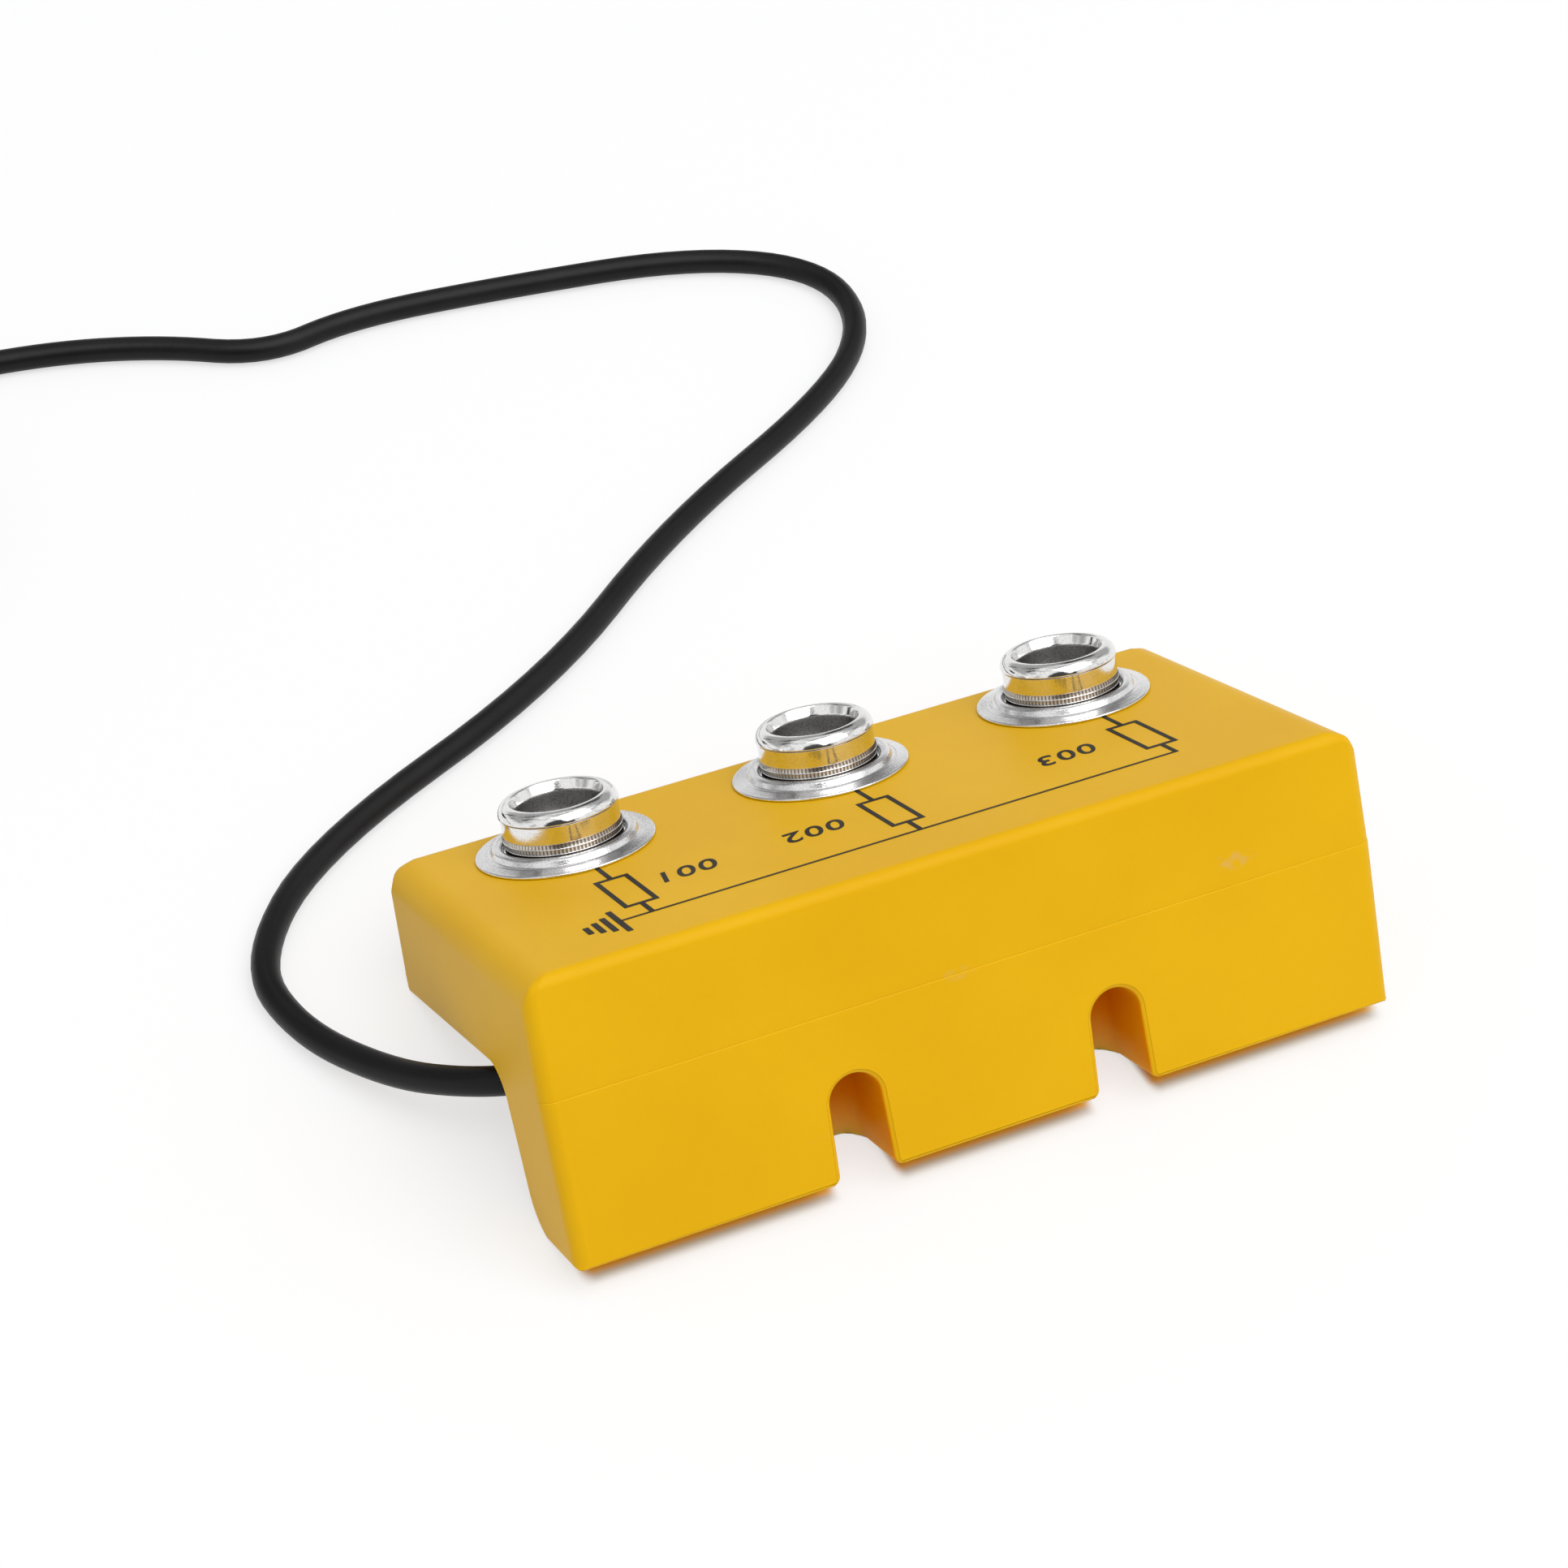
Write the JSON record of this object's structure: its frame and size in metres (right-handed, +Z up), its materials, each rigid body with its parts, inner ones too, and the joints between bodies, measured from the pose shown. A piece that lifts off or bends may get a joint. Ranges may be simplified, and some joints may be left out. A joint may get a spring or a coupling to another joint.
{
  "type": "earth bonding point",
  "caption": "L-shaped plastic earthing block with a row of press studs, two slots in its leg and a thin black earth lead that ends in a ring terminal.",
  "frame": {"origin": "on the surface that the block lies on, under the middle of the block's bounding box, the lead left out", "axes": "+X along the block's length, to the right seen from the mounting face; +Y from the mounting face towards the back; +Z up from the surface. The block leans back 24.07 degrees, so the studs' axes lie at (0, 0.408, 0.913)"},
  "size_m": [0.138, 0.1408, 0.0245],
  "materials": {
    "yellow_plastic": "smooth satin, moulded, slightly translucent",
    "bright_nickel": "bright nickel plate on drawn brass",
    "nickel_brass": "nickel plated, dull",
    "tinned_brass": "tinned",
    "resistor_enamel": "enamelled, with colour bands",
    "tinned_copper": "tinned copper wire",
    "solder": "bright solder",
    "black_rubber": "soft matt",
    "black_pvc": "smooth flexible jacket with a soft sheen",
    "black_sleeve": "insulating sleeve, satin",
    "terminal_tin": "tin plated copper"
  },
  "bodies": {
    "root": {"stud_housing": "yellow_plastic", "mounting_base": "yellow_plastic", "stud_flange_left": "bright_nickel", "stud_post_left": "bright_nickel", "rivet_eyelet_left": "nickel_brass", "solder_tag_left": "tinned_brass", "resistor_body_left": "resistor_enamel", "resistor_leads_left": "tinned_copper", "stud_flange_middle": "bright_nickel", "stud_post_middle": "bright_nickel", "rivet_eyelet_middle": "nickel_brass", "solder_tag_middle": "tinned_brass", "resistor_body_middle": "resistor_enamel", "resistor_leads_middle": "tinned_copper", "stud_flange_right": "bright_nickel", "stud_post_right": "bright_nickel", "rivet_eyelet_right": "nickel_brass", "solder_tag_right": "tinned_brass", "resistor_body_right": "resistor_enamel", "resistor_leads_right": "tinned_copper", "strain_relief": "black_rubber", "cable_inside": "black_pvc", "cable_conductor": "tinned_copper", "bus_wire": "tinned_copper", "solder_joints": "solder", "cord_run": "black_pvc", "cord_coil": "black_pvc", "cord_tail": "black_pvc", "terminal_sleeve": "black_sleeve", "ring_terminal": "terminal_tin"}
  },
  "joints": []
}
